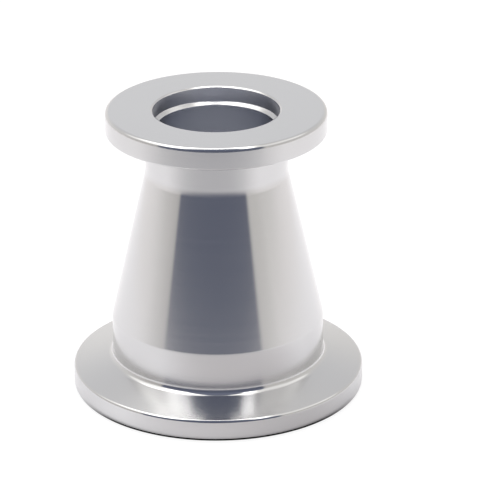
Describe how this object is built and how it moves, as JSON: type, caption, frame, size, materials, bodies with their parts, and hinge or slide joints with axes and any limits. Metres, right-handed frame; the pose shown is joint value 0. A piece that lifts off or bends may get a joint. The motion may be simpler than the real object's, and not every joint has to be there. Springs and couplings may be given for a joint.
{
  "type": "conical reducer",
  "caption": "Turned stainless conical reducer for quick-release vacuum fittings, with a clamping flange and a centring recess at each end.",
  "frame": {"origin": "middle of the large flange's sealing face, on which the part stands", "axes": "+Z along the turned axis, from the large flange to the small one; X and Y are free, because the part is round"},
  "size_m": [0.04, 0.04, 0.04],
  "materials": {
    "turned_steel": "finely turned stainless steel, polished on the cone and satin on the faces"
  },
  "bodies": {
    "root": {"reducer_body": "turned_steel"}
  },
  "joints": []
}
